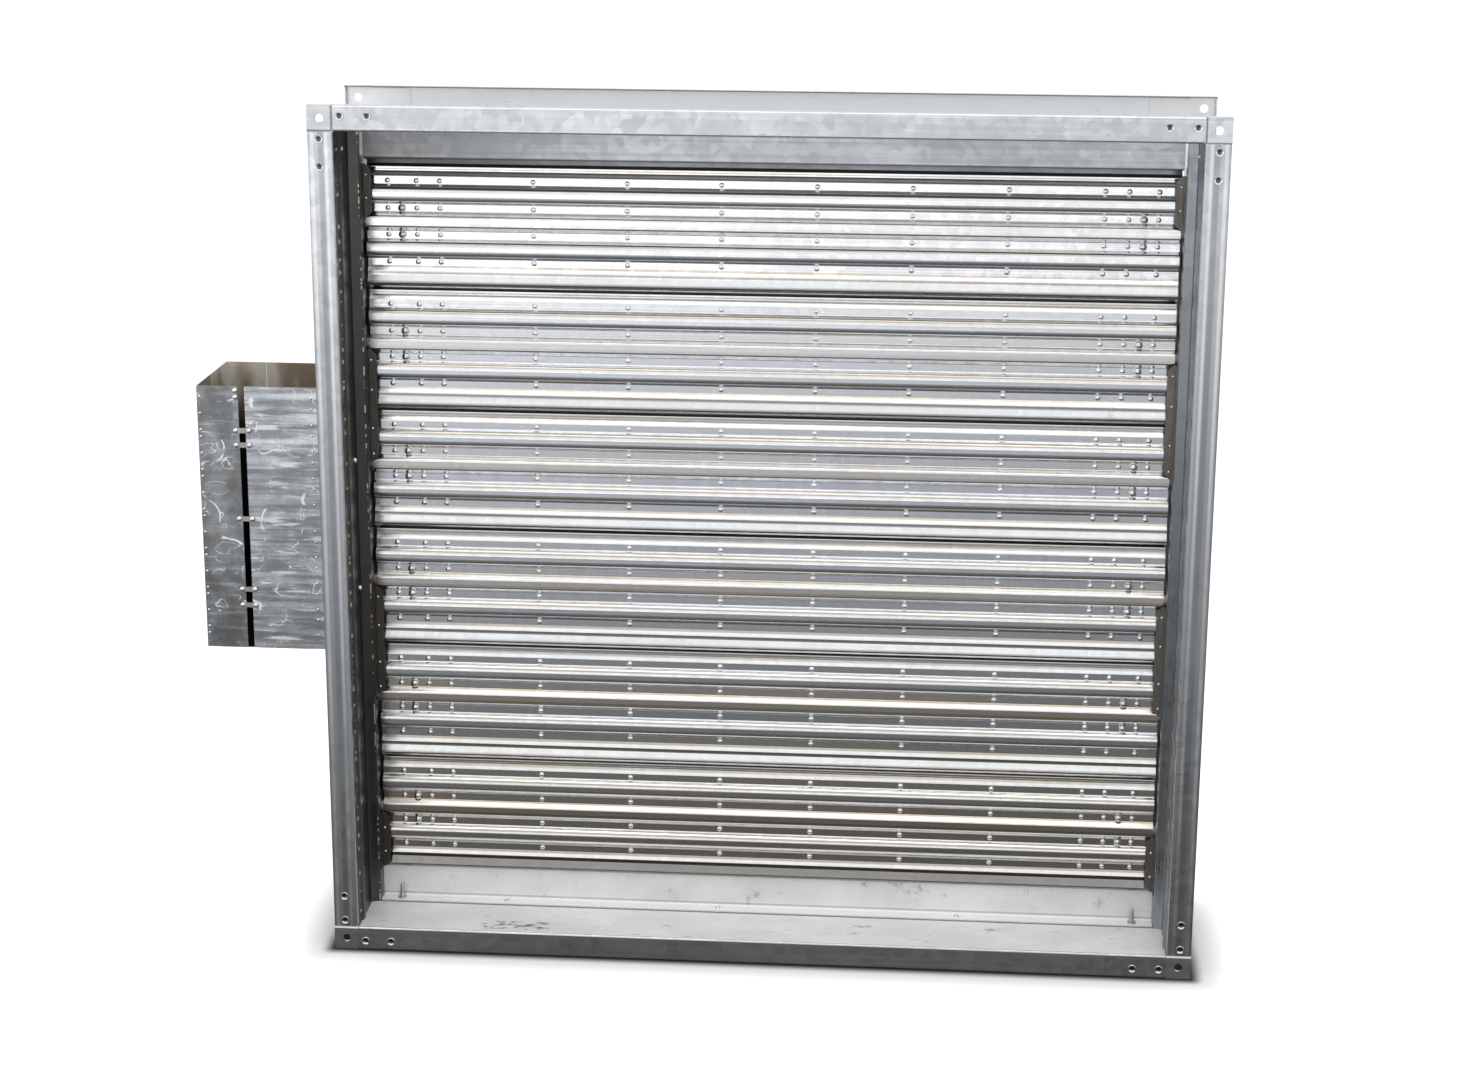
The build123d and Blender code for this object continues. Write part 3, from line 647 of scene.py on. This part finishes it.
# %% [markdown]
# ## Clinch joints at the corners
# The corner pieces are held by round clinch joints, pressed through the flange into the leg behind it: two to a leg,
# on both flanges. Each has a bright rim and a dish painted dark as shade, so its finish goes by how far a point
# stands out.

# %% Clinch joints
clinch_finish, web, shader = new_finish("pressed_clinch", Metallic=1.0, Roughness=0.2)
standing = abs(web.along(Y) - MIDDLE) - MIDDLE
# Painted shade: the dish is dark, and the rim that stands out is bright.
web.put(shader, "Base Color", web.mix(web.fade(standing, 0.0005, 0.0011), grey(0.12), grey(0.9)))
clinch_front, clinch_rear = [], []
for side in (-1, 1):
    for level in (-1, 1):
        for inward in (9 * MM, 41 * MM):
            on_level_leg = (side * (HALF_WIDTH - inward), level * 0.513)
            on_upright_leg = (side * 0.516, level * (HALF_HEIGHT - inward))
            for x, z in (on_level_leg, on_upright_leg):
                clinch_front.append(((x, 0.0, z), TO_FRONT))
                clinch_rear.append(((x, DEPTH, z), TO_REAR))
plant(clinch, "clinch_joints_front", clinch_front, "frame", clinch_finish)
plant(clinch, "clinch_joints_rear", clinch_rear, "frame", clinch_finish)
print("clinch joints:", len(clinch_front) + len(clinch_rear))

# %% [markdown]
# ## Fasteners inside the frame
# Rivets hold each seal strip, three rivets and two standing screw tips are in the foot of the lower stop, and a few
# screw heads are in the side walls.

# %% Frame fasteners
seal_levels = [0.432, 0.404]
for axis in blade_axes[:-1]:
    seal_levels += [axis - drop * MM for drop in (19, 56, 104, 136)]
seal_levels += [-0.400, -0.432]
seal_rivets = []
for level in seal_levels:
    zone = sum(1 for axis in blade_axes if axis > level)
    toward = -1 if zone % 2 == 0 else 1
    for side in (-1, 1):
        seal_rivets.append(((side * 0.4835, MIDDLE + toward * 0.012, level), (0, toward, 0)))
plant(dot, "seal_rivets", seal_rivets, "frame", rivet_finish)
foot_depth, foot_top = 0.097, -0.4935
sill_rivets = [((x, foot_depth, foot_top), UP) for x in (-0.328, -0.058, 0.244)]
plant(rivet, "sill_rivets", sill_rivets, "frame", bolt_finish)
sill_tips = [((x, foot_depth, foot_top), UP) for x in (-0.463, 0.463)]
plant(tip, "sill_screw_tips", sill_tips, "frame", plated_finish)
left_screws = ((0.045, 0.470), (0.067, 0.088), (0.072, -0.075))
wall_screws = [((-HALF_WIDTH, y, z), TO_RIGHT) for y, z in left_screws]
wall_screws.append(((HALF_WIDTH, 0.07, 0.472), TO_LEFT))
plant(rivet, "wall_screws", wall_screws, "frame", rivet_finish)
print("seal rivets:", len(seal_rivets))

# %% [markdown]
# ## Fasteners of the box
# Each strap across the slot has a bright head at both ends, and two more sit at the top of the slot. Rows of small
# spot marks run down the edges of the box.

# %% Box fasteners
strap_heads = []
for z in (0.129, 0.111, 0.019, -0.070, -0.090):
    for x in (-0.638, -0.622):
        strap_heads.append(((x, 0.0355, z), TO_FRONT))
        strap_heads.append(((x, 0.1835, z), TO_REAR))
box_front = 0.037
strap_heads += [((-0.6375, box_front, z), TO_FRONT) for z in (0.178, 0.170)]
plant(rivet, "strap_heads", strap_heads, "frame", rivet_finish)
edge_marks = []
for step in range(19):
    z = 0.170 - 0.0165 * step
    edge_marks.append(((-0.6812, box_front, z - 0.004 * (step % 3)), TO_FRONT))
    edge_marks.append(((-0.5450, box_front, z + 0.003 * (step % 2)), TO_FRONT))
plant(dot, "box_spot_marks", edge_marks, "frame", rivet_finish)
print("box marks:", len(edge_marks))

# %% [markdown]
# ## Fasteners of the linkage and the actuator
# A push-on cap keeps each tie bar on its crank pin and turns with the pin. Nuts draw the clamp bow against the drive
# shaft, four screws hold the lid of the actuator, and two hold the foot of its torque strap.

# %% Linkage and actuator fasteners
pin_radius, pin_turn = 40 * MM, math.radians(45)
pin_aside, pin_drop = pin_radius * math.cos(pin_turn), pin_radius * math.sin(pin_turn)
bar_face, plate_face = 0.5118, 0.5142
for number, axis in zip(BLADES, blade_axes):
    toward = -1 if number % 2 else 1
    pin = (bar_face, MIDDLE + toward * pin_aside, axis - pin_drop)
    body = f"blade_{number}"
    plant(cap, f"{body}_pin_cap", [(pin, TO_RIGHT)], body, steel_finish)
coupling_pin = (plate_face, MIDDLE + pin_aside, 0.0)
plant(cap, "coupling_pin_cap", [(coupling_pin, TO_RIGHT)], "even_bar", steel_finish)
low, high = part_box("clamp_bolt")
half_leg, jaw_foot = 2 * MM, 59 * MM
leg_depths = (low.y + half_leg, high.y - half_leg)
nut_places = [(((low.x + high.x) / 2, y, jaw_foot), DOWN) for y in leg_depths]
plant(nut, "clamp_nuts", nut_places, "blade_3", steel_finish)
low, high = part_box("actuator_lid")
inset = 11 * MM
lid_places = [((low.x, y, z), TO_LEFT) for y in (low.y + inset, high.y - inset)
              for z in (low.z + inset, high.z - inset)]
plant(lid_screw, "lid_screws", lid_places, "frame", plated_finish)
low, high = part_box("torque_strap")
foot_face = high.x - 2 * MM
foot_places = [((foot_face, (low.y + high.y) / 2, low.z + rise * MM), TO_LEFT) for rise in (8, 22)]
plant(lid_screw, "torque_strap_screws", foot_places, "frame", plated_finish)
print("clamp nuts:", len(nut_places), "screws:", len(lid_places) + len(foot_places))

# %% [markdown]
# ## The floor
# The damper stands on a pale floor that melts into a white surround. Under the damper the floor is painted dark as
# shadow, darkest behind the front flange, and it brightens with the distance from the damper's footprint. A camera
# sees it a little brighter than the light alone would make it, so that no horizon shows.


# %% Floor
def reach(web):
    """How far a point of the floor is from the damper's own footprint."""
    aside = (abs(web.along(X)) - (HALF_WIDTH + FLANGE)).larger(0.0)
    ahead = (abs(web.along(Y) - MIDDLE) - MIDDLE).larger(0.0)
    return web.node("ShaderNodeMath", {"operation": "SQRT"}, {0: aside * aside + ahead * ahead})


def lay_plane(name, level, finish):
    """A wide plane at a level, with a finish."""
    bpy.ops.object.select_all(action="DESELECT")
    bpy.ops.mesh.primitive_plane_add(size=60.0, location=(0, 0, level))
    plane = bpy.context.object
    plane.name = name
    plane.data.materials.append(finish)
    return plane


floor_level = cad_box[0].z
floor_finish, web, shader = new_finish("pale_floor", Roughness=0.9)
# Painted shadow under the damper, darkest behind the front flange.
shade = web.mix(web.fade(web.along(Y), 0.06, 0.10), grey(0.03), grey(0.2))
web.put(shader, "Base Color", web.mix(web.fade(reach(web), 0.0, 0.02), shade, grey(0.9)))
seen = web.node("ShaderNodeLightPath", {}, {}, "Is Camera Ray")
white = web.fade(reach(web), 0.0, 0.08) * seen
glow = web.node("ShaderNodeEmission", {}, {"Color": grey(1.0), "Strength": white * 0.6})
both = web.node("ShaderNodeAddShader", {}, {0: Wire(web, shader.outputs[0]), 1: glow})
web.put(floor_finish.node_tree.nodes["Material Output"], "Surface", both)
floor = lay_plane("floor", floor_level, floor_finish)
print("floor at", round(floor_level, 3))

# %% [markdown]
# ## A card to mirror
# Bright sheet metal is a picture of the room around it. A glowing card lies flat around the damper, as in a studio:
# only mirror-like light sees it, so its colours are painted reflections. It is dark near the damper and fades to
# white further off, and it is brighter to the left. Blades low in the frame mirror the near part of the card and the
# upper ones the far part, so the blades brighten from the bottom up.

# %% Card
card_finish, web, _ = new_finish("fading_card")
distance = reach(web)
near = web.mix(web.fade(distance, 0.0, 0.6), (0.075, 0.073, 0.070, 1), (0.145, 0.144, 0.140, 1))
middle = web.mix(web.fade(distance, 0.5, 2.2), near, (0.44, 0.46, 0.49, 1))
upper = web.mix(web.fade(distance, 1.9, 3.4), middle, (0.49, 0.51, 0.54, 1))
far = web.mix(web.fade(distance, 3.9, 4.7), upper, grey(1.42))
slant = web.mix(web.fade(web.along(X), -1.2, 0.9), grey(1.13), grey(0.85))
# The card glows by itself. Its colours are painted reflections for the metal.
glow = web.node("ShaderNodeEmission", {}, {"Color": web.times(far, slant), "Strength": 1.0})
web.put(card_finish.node_tree.nodes["Material Output"], "Surface", glow)
card = lay_plane("floor_card", floor_level + MM, card_finish)
card.visible_camera = False
card.visible_diffuse = False
card.visible_shadow = False
card.visible_transmission = False
print("card laid")

# %% [markdown]
# ## The light
# The surround is white, and weaker where it only lights the damper than where it is seen or mirrored. A wide softbox
# hangs overhead. A second one above it and a third in front add light to dull surfaces alone: mirror-like light
# doesn't see these two, because their pictures in the bright blades would clip to white.


# %% Light
def softbox(name, place, aim, width, height, power):
    """A wide lamp that looks from its place to a point."""
    lamp = bpy.data.lights.new(name, "AREA")
    lamp.shape = "RECTANGLE"
    lamp.size, lamp.size_y = width, height
    lamp.energy = power
    box = bpy.data.objects.new(name, lamp)
    box.location = place
    box.rotation_euler = (Vector(aim) - Vector(place)).to_track_quat("-Z", "Y").to_euler()
    bpy.context.scene.collection.objects.link(box)
    return box


world = bpy.data.worlds.new("white_surround")
world.use_nodes = True
bpy.context.scene.world = world
web = Web(world.node_tree)
backdrop = world.node_tree.nodes["Background"]
backdrop.inputs["Color"].default_value = grey(1.0)
camera_ray, mirror_ray, through_ray = [
    web.node("ShaderNodeLightPath", {}, {}, f"Is {kind} Ray") for kind in ("Camera", "Glossy", "Transmission")]
direct = camera_ray.larger(mirror_ray).larger(through_ray)
web.put(backdrop, "Strength", 0.55 + direct * 0.45)
softbox("overhead", (0, -0.6, 3.2), aim=(0, 0, 0), width=4.0, height=3.0, power=41)
fill = softbox("overhead_fill", (0, -0.6, 3.3), aim=(0, 0, 0), width=4.0, height=3.0, power=23)
front = softbox("front", (0.5, -4.0, 2.5), aim=(0, 0, -0.2), width=3.0, height=2.0, power=32)
fill.visible_glossy = False
front.visible_glossy = False
bpy.context.scene.view_settings.view_transform = "Standard"
print("lit")

# %% [markdown]
# ## Clearing up
# The heads that the copies were made from are taken away.

# %% Clear up and finish
for head in heads:
    bpy.data.objects.remove(head)
